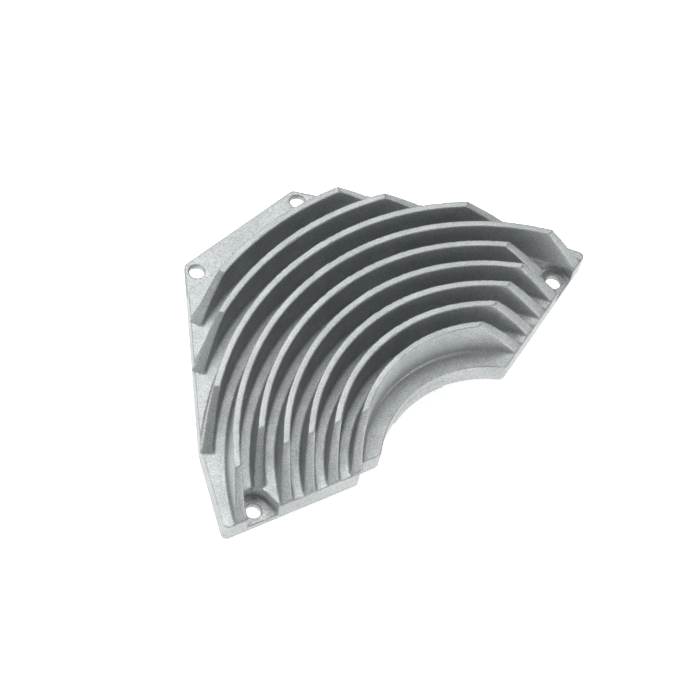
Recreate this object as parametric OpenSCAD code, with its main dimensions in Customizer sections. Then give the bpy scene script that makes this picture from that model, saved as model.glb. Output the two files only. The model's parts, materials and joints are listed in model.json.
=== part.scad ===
// Blower speed regulator: a finned, die-cast heat sink with its power electronics behind it.
// Plan views are drawn from the common centre of the fin rings. The origin of the part lies
// on the mounting face, midway between the two screw holes of the far flange.
// +Z points along the fins, +Y away from the concave rim.

/* [Plate] */
// Radius of the concave rim
rim_r = 32.3; // [31.5:0.1:33]
// Thickness of the screw flange
flange_t = 2.2; // [1.8:0.1:2.6]
// Height of the groove floor over the mounting face
floor_z = 6.6; // [6.4:0.1:7]
// Thickness of the roof over the electronics
roof_t = 2.6; // [2.4:0.1:2.8]
// Thickness of the outer wall under the roof
wall_t = 2.5; // [2:0.1:3]
// How far the ledge is set back at the left end of the rim
step_back = 2.6; // [2:0.1:3]

/* [Fins] */
// Radius of the innermost fin, at its middle
first_fin_r = 39; // [38.8:0.1:39.2]
// Spacing of the fins, middle to middle
fin_pitch = 6.5; // [6.4:0.05:6.5]
// Height of the fin tops over the mounting face
fin_top_z = 18; // [16:0.5:20]
// Thickness of a fin at its top
fin_top_t = 1.9; // [1.5:0.1:2.2]
// Thickness of a fin at its foot
fin_foot_t = 3; // [2.6:0.1:3.1]
// Width and height of the flare where a fin meets the floor
fin_flare = 0.5; // [0.2:0.1:0.6]

/* [Mounting screws] */
// Radius of the four screw holes
screw_hole_r = 2.15; // [1.7:0.05:2.3]
// Distance between the two holes in the far flange
far_screws = 37.9; // [37.5:0.1:38.5]
// Distance between the two holes beside the rim
near_screws = 114.1; // [113:0.1:115]
// Radius of the recesses for the screw heads beside the rim
recess_r = 4.35; // [4:0.05:4.6]

/* [Rear module] */
// Depth of the rear cover below the mounting face
cover_depth = 17; // [16:0.5:19]
// Wall thickness of the rear cover
cover_wall = 2; // [1.6:0.1:2.2]
// Thickness of the gasket
gasket_t = 1; // [0.8:0.1:1.2]
// Thickness of the circuit board
board_t = 1.6; // [1.2:0.1:1.6]

/* [Hidden] */
$fn = 96;

fin_count = 9;
last_fin_r = first_fin_r + fin_pitch * (fin_count - 1);

// Straight edges in plan: direction of the outward normal, and distance from the ring centre
upper_side = [37.8, 79.25];
lower_side = [27.7, 76.3];
front_edge = [-75, -15];
flange_edge = [90, 103.2];
body_edge = [90, last_fin_r + 3.4];
plate_corner_r = 1.6;
rim_corner_r = 2;
pad_rise = 0.4;
pad_z = 0.2;
pad_h = 3.4;
pad_start = 73;
pad_sweep = 33;
corner_step_a = 15;

// The three outermost fins end on radial planes, fin 5 behind the screw recess, and the rest
// along the front edge. Every end slopes back by its run between the floor and the fin top.
end_gap = 0.3;
recess_fin = 4;
radial_a = [47, 30.2, 21.2];
radial_run = [14, 13.4, 11.6];
front_run = 10.6;
corner_run = 9.6;
recess_setback = 7;
fin_sweep = 80;
root_sink = 0.2;
far_screw_y = 99.4;
near_screw_y = 34.7;
eps = 0.01;

// Heights of the rear module, all measured from the mounting face
roof_z = floor_z - roof_t;
board_top = -3;
board_z = board_top - board_t;
cover_rim_t = 2.5;
socket_floor_z = board_z - 0.2;
socket_floor_t = 1.6;

// How far each outline of the rear module lies inside the edge of the casting
seal_in = 14;
seal_w = 2.5;
rim_in = 8.5;
board_in = 17.6;
board_corner_r = 0.5;
boss_in = 10;
boss_r = 3.5;
pilot_r = 1.5;
board_pilot_r = 1.25;
board_boss_r = 3.2;

// Sockets: middle and size of each cavity
power_at = [-17, 60];
power_size = [18, 10];
signal_at = [16, 60];
signal_size = [13, 9.4];
blade_gap = 10;
blade = [6.3, 0.8];
pin_pitch = 3.5;
pin = [1.5, 0.8];
blade_tip_z = 3 - cover_depth;

// Power transistors: middle of each body, its size, and the plate and legs of its leadframe
device_x = 12.5;
device_y = 64;
device = [15.9, 20.8, 5];
plate = [13.4, 16, 2];
leg_pitch = 5.45;
leg = [1.2, 0.6];
leg_run = 2.4;
pad_t = 0.3;
clamp_t = 1.2;
device_z = roof_z - pad_t - device[2];
clamp_y = 65;
clamp_hole_r = 2.1;
clamp_boss_r = 4;

function unit(a) = [cos(a), sin(a)];
function inward(e, d) = [e[0], e[1] - d];
function flipped(e) = [180 - e[0], e[1]];
function meet(a, b) =
    let (s = sin(b[0] - a[0]))
    [(a[1] * sin(b[0]) - b[1] * sin(a[0])) / s, (b[1] * cos(a[0]) - a[1] * cos(b[0])) / s];
function outline(far) = [
    front_edge, lower_side, upper_side, far,
    flipped(upper_side), flipped(lower_side), flipped(front_edge)
];

// Rear cover screws: one behind the rim, two at the near corners, two at the far corners
near_boss = meet(inward(front_edge, boss_in + 2), inward(lower_side, boss_in));
far_boss = meet(inward(upper_side, boss_in), inward(body_edge, boss_in));
cover_bosses = [
    [0, rim_r + boss_in], near_boss, [-near_boss[0], near_boss[1]],
    far_boss, [-far_boss[0], far_boss[1]]
];
board_bosses = [[-36, 46.5], [36, 46.5], [0, 72.8]];
rib_angles = [-52, -38, -20, 20, 38, 52];

module placed() {
    translate([0, -far_screw_y, 0]) children();
}

// A convex outline of straight edges, drawn inset with rounded corners
module rounded(edges, inset, r) {
    n = len(edges);
    function corner(i) = meet(inward(edges[i], inset + r), inward(edges[i + 1], inset + r));
    function turn(i) = edges[i + 1][0] - edges[i][0];
    function steps(i) = ceil(turn(i) / corner_step_a);
    polygon([
        meet(inward(edges[n - 1], inset), inward(edges[0], inset)),
        for (i = [0 : n - 2]) for (k = [0 : steps(i)])
            corner(i) + r * unit(edges[i][0] + turn(i) * k / steps(i))
    ]);
}

module sector(far, inset, r) {
    difference() {
        rounded(outline(far), inset, r);
        circle(rim_r + inset, $fn = 180);
    }
}

// What the rounding takes off the right corner between the rim and the front edge
module rim_corner(setback) {
    c = rim_corner_r;
    edge_d = c - front_edge[1] + setback;
    along = sqrt(pow(rim_r + c, 2) - pow(edge_d, 2));
    middle = along * unit(front_edge[0] + 90) - edge_d * unit(front_edge[0]);
    to_rim = atan2(-middle[1], -middle[0]);
    sweep = front_edge[0] - to_rim;
    difference() {
        polygon([
            middle,
            middle + (c + 0.02) * unit(to_rim) - 0.3 * unit(to_rim + 90),
            middle + 2.5 * c * unit(to_rim + sweep / 2),
            middle + (c + 0.02) * unit(front_edge[0]) + 0.3 * unit(front_edge[0] + 90)
        ]);
        translate(middle) circle(c, $fn = 48);
    }
}

module rim_corners() {
    rim_corner(0);
    mirror([1, 0]) rim_corner(step_back);
}

// Head recess of a near screw: a round end, open towards the front edge
module recess(grow) {
    for (s = [-1, 1]) translate([s * near_screws / 2, near_screw_y]) {
        circle(recess_r + grow);
        translate([-recess_r - grow, -20]) square([2 * (recess_r + grow), 20]);
    }
}

// The ledge inside the first fin stops short of the front edge on the left
module left_step() {
    cut = flipped(front_edge);
    intersection() {
        circle(first_fin_r - fin_foot_t / 2 + 0.4);
        rotate(cut[0]) translate([cut[1] - step_back, -60]) square([20, 120]);
        translate([-50, 0]) square([40, 40]);
    }
}

// Half-plane beyond the end of a fin at floor height
function fin_end(i) =
    i >= fin_count - len(radial_a) ? [-radial_a[i - fin_count + len(radial_a)], 0]
    : inward(front_edge, i == recess_fin ? recess_setback : end_gap);
function fin_run(i) =
    i >= fin_count - len(radial_a) ? radial_run[i - fin_count + len(radial_a)]
    : i > recess_fin ? corner_run : front_run;

module fin(i) {
    foot = fin_foot_t / 2;
    root = foot + fin_flare + root_sink;
    root_z = floor_z - root_sink;
    cut = fin_end(i);
    run = fin_run(i);
    slope = run / (fin_top_z - floor_z);
    difference() {
        rotate_extrude(angle = 2 * fin_sweep, start = 90 - fin_sweep, $fn = 240)
            translate([first_fin_r + i * fin_pitch, 0]) polygon([
                [-root, root_z], [root, root_z], [foot, floor_z + fin_flare],
                [fin_top_t / 2, fin_top_z], [-fin_top_t / 2, fin_top_z],
                [-foot, floor_z + fin_flare]
            ]);
        for (s = [0, 1]) mirror([s, 0, 0]) rotate(cut[0])
            translate([cut[1], 120, 0]) rotate([90, 0, 0]) linear_extrude(240) polygon([
                [slope * (root_sink + 1), root_z - 1], [-run - slope * 2, fin_top_z + 2],
                [100, fin_top_z + 2], [100, root_z - 1]
            ]);
    }
}

module heat_sink() {
    color("silver") placed() {
        difference() {
            union() {
                linear_extrude(flange_t) difference() {
                    sector(flange_edge, 0, plate_corner_r);
                    rim_corners();
                    left_step();
                }
                linear_extrude(floor_z) difference() {
                    sector(body_edge, 0, plate_corner_r);
                    recess(0);
                    rim_corners();
                    left_step();
                }
            }
            translate([0, 0, -eps]) linear_extrude(roof_z + eps) difference() {
                sector(body_edge, wall_t, 1);
                recess(wall_t);
                circle(first_fin_r);
                casting_ribs();
            }
            for (s = [-1, 1]) {
                translate([s * far_screws / 2, far_screw_y, -1]) cylinder(r = screw_hole_r, h = 6);
                translate([s * near_screws / 2, near_screw_y, -1]) cylinder(r = screw_hole_r, h = 6);
            }
        }
        difference() {
            union() {
                for (p = cover_bosses) translate([p[0], p[1], -gasket_t])
                    cylinder(r = boss_r, h = roof_z + gasket_t + 0.5);
                for (p = board_bosses) translate([p[0], p[1], board_top])
                    cylinder(r = board_boss_r, h = roof_z - board_top + 0.5);
                translate([0, clamp_y, device_z])
                    cylinder(r = clamp_boss_r, h = roof_z - device_z + 0.5);
            }
            for (p = cover_bosses) translate([p[0], p[1], -gasket_t - 1])
                cylinder(r = pilot_r, h = roof_z + gasket_t + 0.4);
            for (p = board_bosses) translate([p[0], p[1], board_top - 1])
                cylinder(r = board_pilot_r, h = roof_z - board_top + 0.2);
            translate([0, clamp_y, device_z - 1]) cylinder(r = pilot_r, h = roof_z - device_z + 0.4);
        }
        for (i = [0 : fin_count - 1]) fin(i);
        rim_pad();
    }
}

// A low pad on the wall of the rim
module rim_pad() {
    rotate_extrude(angle = pad_sweep, start = pad_start, $fn = 180)
        translate([rim_r - pad_rise, pad_z]) square([2, pad_h]);
}

// What stays standing under the roof: the sealing wall and the ribs outside it
module casting_ribs() {
    difference() {
        sector(body_edge, seal_in, 1);
        sector(body_edge, seal_in + seal_w, 1);
    }
    difference() {
        for (a = rib_angles) rotate(-a) translate([-1, rim_r]) square([2, 70]);
        sector(body_edge, seal_in + 1, 1);
    }
}

module cover_gasket() {
    color("dimgray") placed() translate([0, 0, -gasket_t]) linear_extrude(gasket_t) difference() {
        sector(body_edge, seal_in, 1);
        sector(body_edge, seal_in + seal_w, 1);
    }
}

module cavity(at, size, grow, depth) {
    translate([at[0] - size[0] / 2 - grow, at[1] - size[1] / 2 - grow, -cover_depth - eps])
        cube([size[0] + 2 * grow, size[1] + 2 * grow, depth + eps]);
}

module contact_slots(clear) {
    for (s = [-1, 1]) translate([power_at[0] + s * blade_gap / 2, power_at[1]])
        square([blade[0] + clear, blade[1] + clear], center = true);
    for (s = [-1, 0, 1]) translate([signal_at[0] + s * pin_pitch, signal_at[1]])
        square([pin[0] + clear, pin[1] + clear], center = true);
}

module rear_cover() {
    socket_h = cover_depth + socket_floor_z;
    color([0.13, 0.13, 0.14]) placed() difference() {
        union() {
            difference() {
                union() {
                    translate([0, 0, -cover_depth]) linear_extrude(cover_depth - gasket_t)
                        sector(body_edge, seal_in, 2);
                    translate([0, 0, -gasket_t - cover_rim_t]) linear_extrude(cover_rim_t)
                        sector(body_edge, rim_in, 2);
                    for (p = cover_bosses) translate([p[0], p[1], -gasket_t - cover_rim_t])
                        cylinder(r = boss_r + 0.7, h = cover_rim_t);
                }
                translate([0, 0, cover_wall - cover_depth]) linear_extrude(cover_depth)
                    sector(body_edge, seal_in + cover_wall, 1);
            }
            intersection() {
                union() {
                    cavity(power_at, power_size, cover_wall, socket_h);
                    cavity(signal_at, signal_size, cover_wall, socket_h);
                }
                translate([0, 0, -cover_depth]) cube(400, center = true);
            }
        }
        cavity(power_at, power_size, 0, socket_h - socket_floor_t);
        cavity(signal_at, signal_size, 0, socket_h - socket_floor_t);
        translate([0, 0, -cover_depth]) linear_extrude(cover_depth) contact_slots(0.04);
        for (p = cover_bosses) translate([p[0], p[1], -cover_depth])
            cylinder(r = pilot_r + 0.3, h = cover_depth);
    }
}

// A pan-head screw that points up, with its head's seat at z = 0
module screw(r, len, head_r, head_h) {
    difference() {
        union() {
            cylinder(r = r, h = len);
            translate([0, 0, -head_h]) cylinder(r = head_r, h = head_h);
        }
        translate([0, 0, -head_h - eps]) linear_extrude(head_h * 0.6) for (a = [0, 90]) rotate(a)
            square([head_r * 1.2, head_r * 0.3], center = true);
    }
}

module cover_screws() {
    color("lightgray") placed() for (p = cover_bosses)
        translate([p[0], p[1], -gasket_t - cover_rim_t]) screw(pilot_r, 6.3, 3.1, 2.2);
}

module circuit_board() {
    through = board_t + 2;
    color("darkgreen") placed() translate([0, 0, board_z]) difference() {
        linear_extrude(board_t) sector(body_edge, board_in, board_corner_r);
        translate([0, 0, -1]) {
            for (p = board_bosses) translate(p) cylinder(r = board_pilot_r + 0.2, h = through);
            translate([0, clamp_y, 0]) cylinder(r = clamp_boss_r + 0.6, h = through);
            linear_extrude(through) contact_slots(0.1);
            for (p = leg_points()) translate([p[0] - leg[0] / 2 - 0.1, p[1] - leg[1] / 2 - 0.1, 0])
                cube([leg[0] + 0.2, leg[1] + 0.2, through]);
            for (s = [-1, 1]) translate([capacitor_at[0] + s * 2.5, capacitor_at[1], 0])
                cylinder(r = 0.4, h = through);
            for (s = [-1, 1]) translate([fuse_at[0], fuse_at[1] + s * fuse_span / 2, 0])
                cylinder(r = 0.5, h = through);
        }
    }
}

module board_screws() {
    color("lightgray") placed() for (p = board_bosses)
        translate([p[0], p[1], board_z]) screw(board_pilot_r, 6, 2.6, 1.8);
}

function leg_y() = device_y - device[1] / 2 - leg_run + leg[1] / 2;
function leg_points() = [
    for (s = [-1, 1]) for (k = [-1 : 1]) [s * device_x + k * leg_pitch, leg_y()]
];

// Epoxy body, with a pocket for the plate that lies against the insulator
module transistor(side) {
    color([0.1, 0.1, 0.11]) placed() translate([side * device_x, device_y, device_z]) difference() {
        translate([-device[0] / 2, -device[1] / 2, 0]) cube(device);
        translate([-plate[0] / 2, device[1] / 2 - plate[1], device[2] - plate[2]])
            cube(plate + [0, eps, eps]);
        for (k = [-1 : 1]) translate([k * leg_pitch - leg[0] / 2, -device[1] / 2 - eps, leg_lift])
            cube([leg[0], 4, leg[1]]);
    }
}

leg_lift = 2.2;

// Copper plate with three flat legs that run out and turn down through the board
module leadframe(side) {
    color([0.8, 0.75, 0.7]) placed() translate([side * device_x, device_y, device_z]) {
        translate([-plate[0] / 2, device[1] / 2 - plate[1], device[2] - plate[2]]) cube(plate);
        for (k = [-1 : 1]) translate([k * leg_pitch - leg[0] / 2, 0, 0]) {
            translate([0, -device[1] / 2 - leg_run, leg_lift]) cube([leg[0], leg_run + 4, leg[1]]);
            translate([0, -device[1] / 2 - leg_run, board_z - 0.8 - device_z])
                cube([leg[0], leg[1], leg_lift + leg[1] - board_z + 0.8 + device_z]);
        }
    }
}

module insulator(side) {
    color([0.75, 0.8, 0.85]) placed()
        translate([side * device_x - device[0] / 2 - 0.4, device_y - device[1] / 2, roof_z - pad_t])
            cube([device[0] + 0.8, device[1] + 0.2, pad_t]);
}

module transistor_left() { transistor(-1); }
module transistor_right() { transistor(1); }
module leadframe_left() { leadframe(-1); }
module leadframe_right() { leadframe(1); }
module insulator_left() { insulator(-1); }
module insulator_right() { insulator(1); }

// Steel bar that presses both transistors against the roof
module clamp_bar() {
    w = 2 * device_x + 10;
    color("lightsteelblue") placed() translate([0, clamp_y, device_z - clamp_t]) difference() {
        union() {
            translate([-w / 2, -4, 0]) cube([w, 8, clamp_t]);
            for (s = [-1, 1]) translate([s * w / 2 - 0.5, -4, -1]) cube([1, 8, 1 + clamp_t]);
        }
        translate([0, 0, -2]) cylinder(r = clamp_hole_r, h = 6);
    }
}

module clamp_screw() {
    color("gray") placed() translate([0, clamp_y, device_z - clamp_t])
        screw(pilot_r, 6, 3.4, 2.4);
}

module power_blade(side) {
    color("goldenrod") placed()
        translate([power_at[0] + side * blade_gap / 2, power_at[1], blade_tip_z]) difference() {
            translate([-blade[0] / 2, -blade[1] / 2, 0])
                cube([blade[0], blade[1], board_top + 0.8 - blade_tip_z]);
            translate([0, 2, 3]) rotate([90, 0, 0]) cylinder(r = 0.8, h = 4);
            for (s = [-1, 1]) translate([s * blade[0] / 2, 0, 0]) rotate([0, 45, 0])
                cube([1.6, 2, 1.6], center = true);
        }
}

module power_blade_left() { power_blade(-1); }
module power_blade_right() { power_blade(1); }

module signal_pins() {
    color("goldenrod") placed() for (s = [-1, 0, 1])
        translate([signal_at[0] + s * pin_pitch - pin[0] / 2, signal_at[1] - pin[1] / 2, blade_tip_z])
            cube([pin[0], pin[1], board_top + 0.8 - blade_tip_z]);
}

capacitor_at = [-15, 72];
capacitor_r = 4;
capacitor_h = 8.6;

// The capacitor hangs from the board; its can is crimped above the rubber base
module capacitor_can() {
    color([0.2, 0.25, 0.45]) placed()
        translate([capacitor_at[0], capacitor_at[1], board_z - 0.3]) rotate_extrude($fn = 64) polygon([
            [0, -capacitor_h], [capacitor_r - 0.4, -capacitor_h], [capacitor_r, 0.4 - capacitor_h],
            [capacitor_r, -2.2], [capacitor_r - 0.35, -1.9], [capacitor_r - 0.35, -1.5],
            [capacitor_r, -1.2], [capacitor_r, 0], [capacitor_r - 0.5, 0], [capacitor_r - 0.5, -1.2],
            [0, -1.2]
        ]);
}

module capacitor_base() {
    color("black") placed() translate([capacitor_at[0], capacitor_at[1], board_z - 1.5])
        difference() {
            cylinder(r = capacitor_r - 0.5, h = 1.2);
            for (s = [-1, 1]) translate([s * 2.5, 0, -1]) cylinder(r = 0.3, h = 4);
        }
}

module capacitor_leads() {
    color("silver") placed() for (s = [-1, 1])
        translate([capacitor_at[0] + s * 2.5, capacitor_at[1], board_z - 1.5])
            cylinder(r = 0.3, h = 1.5 + board_t + 0.8);
}

shunt_at = [14, 70];
shunt = [12, 3, 3.2];

// A flat resistance strip bent into a bridge, soldered to the board
module shunt_strip() {
    t = 0.8;
    color([0.7, 0.5, 0.4]) placed()
        translate([shunt_at[0] - shunt[0] / 2, shunt_at[1] - shunt[1] / 2, board_z - shunt[2]])
            difference() {
                translate([-2, 0, 0]) cube([shunt[0] + 4, shunt[1], shunt[2]]);
                translate([t, -1, t]) cube([shunt[0] - 2 * t, shunt[1] + 2, shunt[2]]);
                for (x = [-2 - eps, shunt[0]]) translate([x, -1, -1])
                    cube([2 + eps, shunt[1] + 2, shunt[2] + 1 - t]);
            }
}

fuse_at = [5, 61];
fuse_span = 16;
fuse_half = 4.5;
fuse_r = 1.8;
fuse_z = board_z - 2.2;

// A cylindrical thermal fuse lying under the board, with bent leads
module thermal_fuse() {
    color("white") placed() translate([fuse_at[0], fuse_at[1] - fuse_half, fuse_z])
        rotate([-90, 0, 0]) rotate_extrude($fn = 48) polygon([
            [0, 0], [0.8, 0], [fuse_r, 1], [fuse_r, 2 * fuse_half - 0.8],
            [fuse_r - 0.4, 2 * fuse_half], [0, 2 * fuse_half]
        ]);
}

module fuse_leads() {
    color("silver") placed() for (s = [0, 1]) translate([fuse_at[0], fuse_at[1], fuse_z])
        mirror([0, s, 0]) {
            translate([0, fuse_half, 0]) rotate([-90, 0, 0])
                cylinder(r = 0.4, h = fuse_span / 2 - fuse_half);
            translate([0, fuse_span / 2, 0]) sphere(0.4);
            translate([0, fuse_span / 2, 0]) cylinder(r = 0.4, h = board_top + 0.6 - fuse_z);
        }
}

chip_at = [30, 51.5];
chip = [4, 5, 1.4];

module control_chip() {
    color([0.12, 0.12, 0.13]) placed()
        translate([chip_at[0] - chip[0] / 2, chip_at[1] - chip[1] / 2, board_z - 0.2 - chip[2]])
            cube(chip);
}

module chip_legs() {
    color("silver") placed() for (s = [0, 1]) translate([chip_at[0], chip_at[1], board_z])
        mirror([s, 0, 0]) for (k = [-1.5 : 1.5]) translate([0, k * 1.27 - 0.2, 0]) {
            translate([chip[0] / 2, 0, -0.9]) cube([0.7, 0.4, 0.2]);
            translate([chip[0] / 2 + 0.5, 0, -0.9]) cube([0.2, 0.4, 0.9]);
            translate([chip[0] / 2 + 0.5, 0, -0.2]) cube([0.8, 0.4, 0.2]);
        }
}

module suppressor_diode() {
    color([0.15, 0.15, 0.16]) placed() translate([-33.5, 51, board_z - 2.3]) cube([3.6, 4.4, 2.3]);
}

module chips(places, size) {
    for (p = places) translate([p[0] - size[0] / 2, p[1] - size[1] / 2, board_z - size[2]]) cube(size);
}

module chip_resistors() {
    color([0.1, 0.1, 0.1]) placed()
        chips([for (k = [0 : 3]) [26.5, 56 + 2.2 * k]], [2, 1.25, 0.5]);
}

module chip_capacitors() {
    color([0.7, 0.6, 0.45]) placed()
        chips([for (k = [0 : 3]) [-2.5, 52.8 + 2.1 * k]], [2, 1.25, 0.9]);
}

heat_sink();
cover_gasket();
rear_cover();
cover_screws();
circuit_board();
board_screws();
transistor_left();
transistor_right();
leadframe_left();
leadframe_right();
insulator_left();
insulator_right();
clamp_bar();
clamp_screw();
power_blade_left();
power_blade_right();
signal_pins();
capacitor_can();
capacitor_base();
capacitor_leads();
shunt_strip();
thermal_fuse();
fuse_leads();
control_chip();
chip_legs();
suppressor_diode();
chip_resistors();
chip_capacitors();
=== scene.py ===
import json
import math

import bpy
import numpy as np
from mathutils import Matrix, Vector, noise


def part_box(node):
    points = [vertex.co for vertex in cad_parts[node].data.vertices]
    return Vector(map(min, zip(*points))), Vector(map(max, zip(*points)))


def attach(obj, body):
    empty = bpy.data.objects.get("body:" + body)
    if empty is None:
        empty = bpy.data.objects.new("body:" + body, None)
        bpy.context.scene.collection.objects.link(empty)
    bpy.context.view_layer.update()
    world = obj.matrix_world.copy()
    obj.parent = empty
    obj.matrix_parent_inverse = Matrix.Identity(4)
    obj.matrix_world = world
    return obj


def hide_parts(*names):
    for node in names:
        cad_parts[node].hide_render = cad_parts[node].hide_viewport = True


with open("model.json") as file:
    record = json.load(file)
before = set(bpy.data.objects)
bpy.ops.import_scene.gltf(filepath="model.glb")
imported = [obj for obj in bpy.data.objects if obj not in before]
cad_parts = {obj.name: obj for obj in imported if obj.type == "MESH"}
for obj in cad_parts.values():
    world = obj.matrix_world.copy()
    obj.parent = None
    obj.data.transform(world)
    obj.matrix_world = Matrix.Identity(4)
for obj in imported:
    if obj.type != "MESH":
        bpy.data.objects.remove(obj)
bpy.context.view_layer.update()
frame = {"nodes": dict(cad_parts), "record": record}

MM = 0.001

# Camera: the point of the mounting face that it aims at, and how it stands to that point
AIM = Vector((-2.2, -44.16, 0.0)) * MM
DISTANCE = 680.15 * MM
AZIMUTH, ELEVATION, ROLL = -55.72, 57.14, 14.4
LENS, SENSOR = 128.57, 36.0

# How finely the casting is remeshed, and how far its edges are rounded
VOXEL = 0.3 * MM
ROUNDING_STEPS = 3
KEEP_FACES = 0.3

# Width of the rounded edges of the moulded and turned pieces
SOFT_EDGES = {"rear_cover": 0.4 * MM, "cover_screws": 0.2 * MM, "board_screws": 0.15 * MM}

# Nicks along the edges of the fin tops, and waves on the tops: spacing, depth, and how far
# below the tops they reach. An edge is where the normal is neither upright nor level.
NICK_SIZE = 0.9 * MM
NICK_DEPTH = 0.14 * MM
NICK_FREE = 0.12
WAVE_SIZE = 9.0 * MM
WAVE_DEPTH = 0.03 * MM
TOP_BAND = 0.6 * MM
UPRIGHT, LEVEL = 0.93, 0.15

FLOOR_REACH = 3.0
FLOOR_GLOW = 0.8


# ---------------------------------------------------------------- camera and light
def camera():
    a, e, r = (math.radians(x) for x in (AZIMUTH, ELEVATION, ROLL))
    forward = Vector((-math.sin(a) * math.cos(e), math.cos(a) * math.cos(e), -math.sin(e)))
    level = Vector((math.cos(a), math.sin(a), 0.0))
    up = level.cross(forward)
    right = level * math.cos(r) + up * math.sin(r)
    up = right.cross(forward)
    data = bpy.data.cameras.new("camera")
    data.lens, data.sensor_width = LENS, SENSOR
    data.clip_start, data.clip_end = 0.01, 20.0
    cam = bpy.data.objects.new("camera", data)
    bpy.context.scene.collection.objects.link(cam)
    turn = Matrix((right, up, -forward)).transposed().to_4x4()
    cam.matrix_world = Matrix.Translation(AIM - forward * DISTANCE) @ turn
    bpy.context.scene.camera = cam


def area_light(name, place, size, watts):
    """A round light, aimed at the part: its place and diameter in metres, and its power."""
    data = bpy.data.lights.new(name, "AREA")
    data.shape, data.size, data.energy = "DISK", size, watts
    lamp = bpy.data.objects.new(name, data)
    bpy.context.scene.collection.objects.link(lamp)
    lamp.location = place
    lamp.rotation_mode = "QUATERNION"
    lamp.rotation_quaternion = (AIM - Vector(place)).to_track_quat("-Z", "Y")


def studio():
    """A large soft light overhead, weak ones in front and at the left, and an even room."""
    bpy.context.scene.view_settings.view_transform = "Standard"
    world = bpy.data.worlds.new("studio")
    bpy.context.scene.world = world
    world.use_nodes = True
    background = world.node_tree.nodes["Background"]
    background.inputs["Color"].default_value = (0.97, 0.99, 1.0, 1)
    background.inputs["Strength"].default_value = 0.21
    area_light("key", (0.12, 0.4, 1.1), 1.1, 11.7)
    area_light("front", (0.35, -0.85, 0.22), 0.5, 1.7)
    area_light("side", (-0.95, -0.1, 0.35), 0.5, 1.3)


def floor():
    low = min(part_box(name)[0].z for name in frame["nodes"])
    reach = FLOOR_REACH
    corners = ((-reach, -reach), (reach, -reach), (reach, reach), (-reach, reach))
    mesh = bpy.data.meshes.new("floor")
    mesh.from_pydata([(x, y, low) for x, y in corners], [], [(0, 1, 2, 3)])
    ground = bpy.data.objects.new("floor", mesh)
    bpy.context.scene.collection.objects.link(ground)
    mat, tree, bsdf = material("floor", (0.9, 0.9, 0.9), 0.9)
    bsdf.inputs["Emission Color"].default_value = (1, 1, 1, 1)
    bsdf.inputs["Emission Strength"].default_value = FLOOR_GLOW
    mesh.materials.append(mat)


# ---------------------------------------------------------------- materials
def material(name, color, roughness, metallic=0.0):
    mat = bpy.data.materials.new(name)
    mat.use_nodes = True
    bsdf = mat.node_tree.nodes["Principled BSDF"]
    bsdf.inputs["Base Color"].default_value = (*color, 1)
    bsdf.inputs["Roughness"].default_value = roughness
    bsdf.inputs["Metallic"].default_value = metallic
    return mat, mat.node_tree, bsdf


def noise_node(tree, scale, detail=4.0, roughness=0.6, stretch=(1, 1, 1)):
    place = tree.nodes.new("ShaderNodeTexCoord")
    mapping = tree.nodes.new("ShaderNodeMapping")
    mapping.inputs["Scale"].default_value = stretch
    tree.links.new(place.outputs["Object"], mapping.inputs["Vector"])
    made = tree.nodes.new("ShaderNodeTexNoise")
    made.inputs["Scale"].default_value = scale
    made.inputs["Detail"].default_value = detail
    made.inputs["Roughness"].default_value = roughness
    tree.links.new(mapping.outputs["Vector"], made.inputs["Vector"])
    return made.outputs["Fac"]


def ramp(tree, value, low, high, start=0.3, end=0.7):
    made = tree.nodes.new("ShaderNodeValToRGB")
    made.color_ramp.elements[0].position, made.color_ramp.elements[1].position = start, end
    made.color_ramp.elements[0].color = (*low, 1)
    made.color_ramp.elements[1].color = (*high, 1)
    tree.links.new(value, made.inputs["Fac"])
    return made.outputs["Color"]


def span(tree, value, low, high, start=0.3, end=0.7):
    made = tree.nodes.new("ShaderNodeMapRange")
    for socket, number in zip(("From Min", "From Max", "To Min", "To Max"), (start, end, low, high)):
        made.inputs[socket].default_value = number
    tree.links.new(value, made.inputs["Value"])
    return made.outputs["Result"]


def bump(tree, bsdf, height, strength, distance):
    made = tree.nodes.new("ShaderNodeBump")
    made.inputs["Strength"].default_value = strength
    made.inputs["Distance"].default_value = distance
    tree.links.new(height, made.inputs["Height"])
    tree.links.new(made.outputs["Normal"], bsdf.inputs["Normal"])


def grained(name, low, high, roughness, metallic, scale, strength, distance, stretch=(1, 1, 1)):
    """A surface whose colour, gloss and bump all follow one grain.

    Colours and roughness run from low to high with the grain; scale is the fineness of the
    grain, distance the height of its bump in metres, and stretch draws it out along an axis.
    """
    mat, tree, bsdf = material(name, high, roughness[0], metallic)
    grain = noise_node(tree, scale, stretch=stretch)
    tree.links.new(ramp(tree, grain, low, high), bsdf.inputs["Base Color"])
    tree.links.new(span(tree, grain, *roughness), bsdf.inputs["Roughness"])
    bump(tree, bsdf, grain, strength, distance)
    return mat


def cast_metal():
    """Bead-blasted aluminium: an even sandy grain, soft blotches and fine bright specks."""
    mat, tree, bsdf = material("cast_aluminium", (0.5, 0.52, 0.51), 0.5, 0.7)
    grain = noise_node(tree, 3000.0, 2.0, 0.8)
    blotch = noise_node(tree, 140.0, 6.0, 0.65)
    both = tree.nodes.new("ShaderNodeMix")
    both.inputs["Factor"].default_value = 0.22
    tree.links.new(grain, both.inputs["A"])
    tree.links.new(blotch, both.inputs["B"])
    mixed = both.outputs["Result"]
    color = ramp(tree, mixed, (0.28, 0.3, 0.305), (0.62, 0.64, 0.64), 0.34, 0.66)
    tree.links.new(color, bsdf.inputs["Base Color"])
    tree.links.new(span(tree, mixed, 0.62, 0.4), bsdf.inputs["Roughness"])
    bump(tree, bsdf, mixed, 0.5, 0.00014)
    return mat


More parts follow.
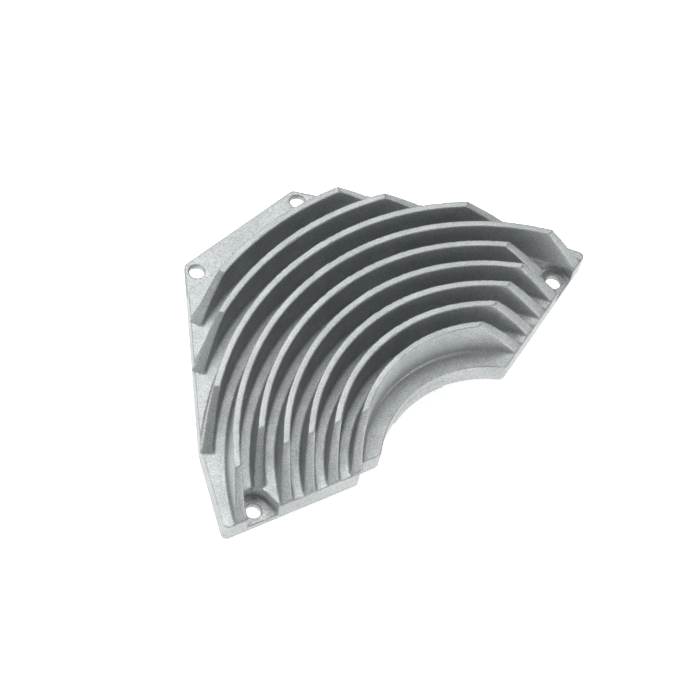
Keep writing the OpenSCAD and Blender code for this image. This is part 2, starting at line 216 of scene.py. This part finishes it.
MATERIALS = {
    "cast_aluminium": cast_metal(),
    "seal_rubber": grained("seal_rubber", (0.012,) * 3, (0.03,) * 3, (0.6, 0.8), 0, 1500, 0.3, 0.00003),
    "cover_plastic": grained(
        "cover_plastic", (0.014, 0.014, 0.016), (0.03, 0.03, 0.033), (0.4, 0.55), 0, 3200, 0.35, 0.00004
    ),
    "screw_steel": grained(
        "screw_steel", (0.5, 0.5, 0.5), (0.66, 0.67, 0.7), (0.22, 0.38), 1, 900, 0.1, 0.00002
    ),
    "board_laminate": grained(
        "board_laminate", (0.006, 0.07, 0.03), (0.012, 0.12, 0.05), (0.25, 0.35), 0, 700, 0.1, 0.00002
    ),
    "epoxy": grained(
        "epoxy", (0.01, 0.01, 0.011), (0.025, 0.025, 0.027), (0.5, 0.65), 0, 2600, 0.3, 0.00003
    ),
    "tinned_copper": grained(
        "tinned_copper", (0.55, 0.54, 0.5), (0.74, 0.73, 0.7), (0.25, 0.42), 1, 1100, 0.15, 0.00002
    ),
    "insulating_sheet": grained(
        "insulating_sheet", (0.4, 0.44, 0.46), (0.52, 0.56, 0.58), (0.5, 0.6), 0, 900, 0.1, 0.00002
    ),
    "spring_steel": grained(
        "spring_steel", (0.35, 0.36, 0.39), (0.5, 0.51, 0.54), (0.25, 0.4), 1, 500, 0.2, 0.00002,
        (1, 12, 12)
    ),
    "contact_brass": grained(
        "contact_brass", (0.6, 0.54, 0.38), (0.75, 0.69, 0.52), (0.22, 0.36), 1, 600, 0.15, 0.00002,
        (9, 9, 1)
    ),
    "capacitor_sleeve": grained(
        "capacitor_sleeve", (0.012, 0.02, 0.07), (0.02, 0.035, 0.11), (0.3, 0.4), 0, 800, 0.1, 0.00002
    ),
    "resistance_alloy": grained(
        "resistance_alloy", (0.45, 0.27, 0.18), (0.6, 0.38, 0.26), (0.3, 0.45), 1, 600, 0.15, 0.00002,
        (1, 9, 9)
    ),
    "fuse_body": grained(
        "fuse_body", (0.7, 0.67, 0.6), (0.8, 0.78, 0.72), (0.25, 0.4), 0, 900, 0.1, 0.00002
    ),
    "chip_black": grained("chip_black", (0.012,) * 3, (0.03,) * 3, (0.3, 0.45), 0, 1800, 0.1, 0.00002),
    "chip_tan": grained(
        "chip_tan", (0.3, 0.2, 0.11), (0.42, 0.3, 0.18), (0.4, 0.55), 0, 1800, 0.1, 0.00002
    ),
}


def paint_nodes():
    for part in frame["record"]["subparts"]:
        node = frame["nodes"][part["node"]]
        node.data.materials.clear()
        node.data.materials.append(MATERIALS[part["material_slot"]])


def soften():
    """Round the edges of the moulded cover and of the screws."""
    for name, width in SOFT_EDGES.items():
        bevel = frame["nodes"][name].modifiers.new("soft_edges", "BEVEL")
        bevel.width, bevel.segments, bevel.limit_method = width, 2, "ANGLE"
        bevel.angle_limit = math.radians(40)


# ---------------------------------------------------------------- the casting
def casting():
    """The heat sink with the rounded edges, foot fillets and small nicks of a die casting."""
    cast = bpy.data.objects.new("casting", frame["nodes"]["heat_sink"].data.copy())
    bpy.context.scene.collection.objects.link(cast)
    remesh = cast.modifiers.new("skin", "REMESH")
    remesh.mode, remesh.voxel_size, remesh.use_smooth_shade = "VOXEL", VOXEL, True
    rounding = cast.modifiers.new("rounding", "SMOOTH")
    rounding.factor, rounding.iterations = 0.5, ROUNDING_STEPS
    thinning = cast.modifiers.new("thinning", "DECIMATE")
    thinning.ratio = KEEP_FACES
    view = bpy.context.evaluated_depsgraph_get()
    mesh = bpy.data.meshes.new_from_object(cast.evaluated_get(view))
    cast.modifiers.clear()
    cast.data = mesh
    weather(mesh)
    mesh.shade_smooth()
    mesh.materials.clear()
    mesh.materials.append(MATERIALS["cast_aluminium"])
    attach(cast, "root")
    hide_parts("heat_sink")


def weather(mesh):
    """Nicks on the edges of the fin tops, and a faint waviness between them."""
    count = len(mesh.vertices)
    place, normal = np.empty(count * 3), np.empty(count * 3)
    mesh.vertices.foreach_get("co", place)
    mesh.vertices.foreach_get("normal", normal)
    place, normal = place.reshape(-1, 3), normal.reshape(-1, 3)
    near_top = place[:, 2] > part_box("heat_sink")[1].z - TOP_BAND
    tilt = np.abs(normal[:, 2])
    on_edge = near_top & (tilt < UPRIGHT) & (tilt > LEVEL)
    for i in np.flatnonzero(on_edge):
        bite = noise.noise(Vector(place[i] / NICK_SIZE)) - NICK_FREE
        if bite > 0:
            place[i] -= normal[i] * bite * NICK_DEPTH
    for i in np.flatnonzero(near_top & ~on_edge):
        place[i] -= normal[i] * WAVE_DEPTH * abs(noise.noise(Vector(place[i] / WAVE_SIZE)))
    mesh.vertices.foreach_set("co", place.ravel())
    mesh.update()


camera()
studio()
floor()
paint_nodes()
soften()
casting()
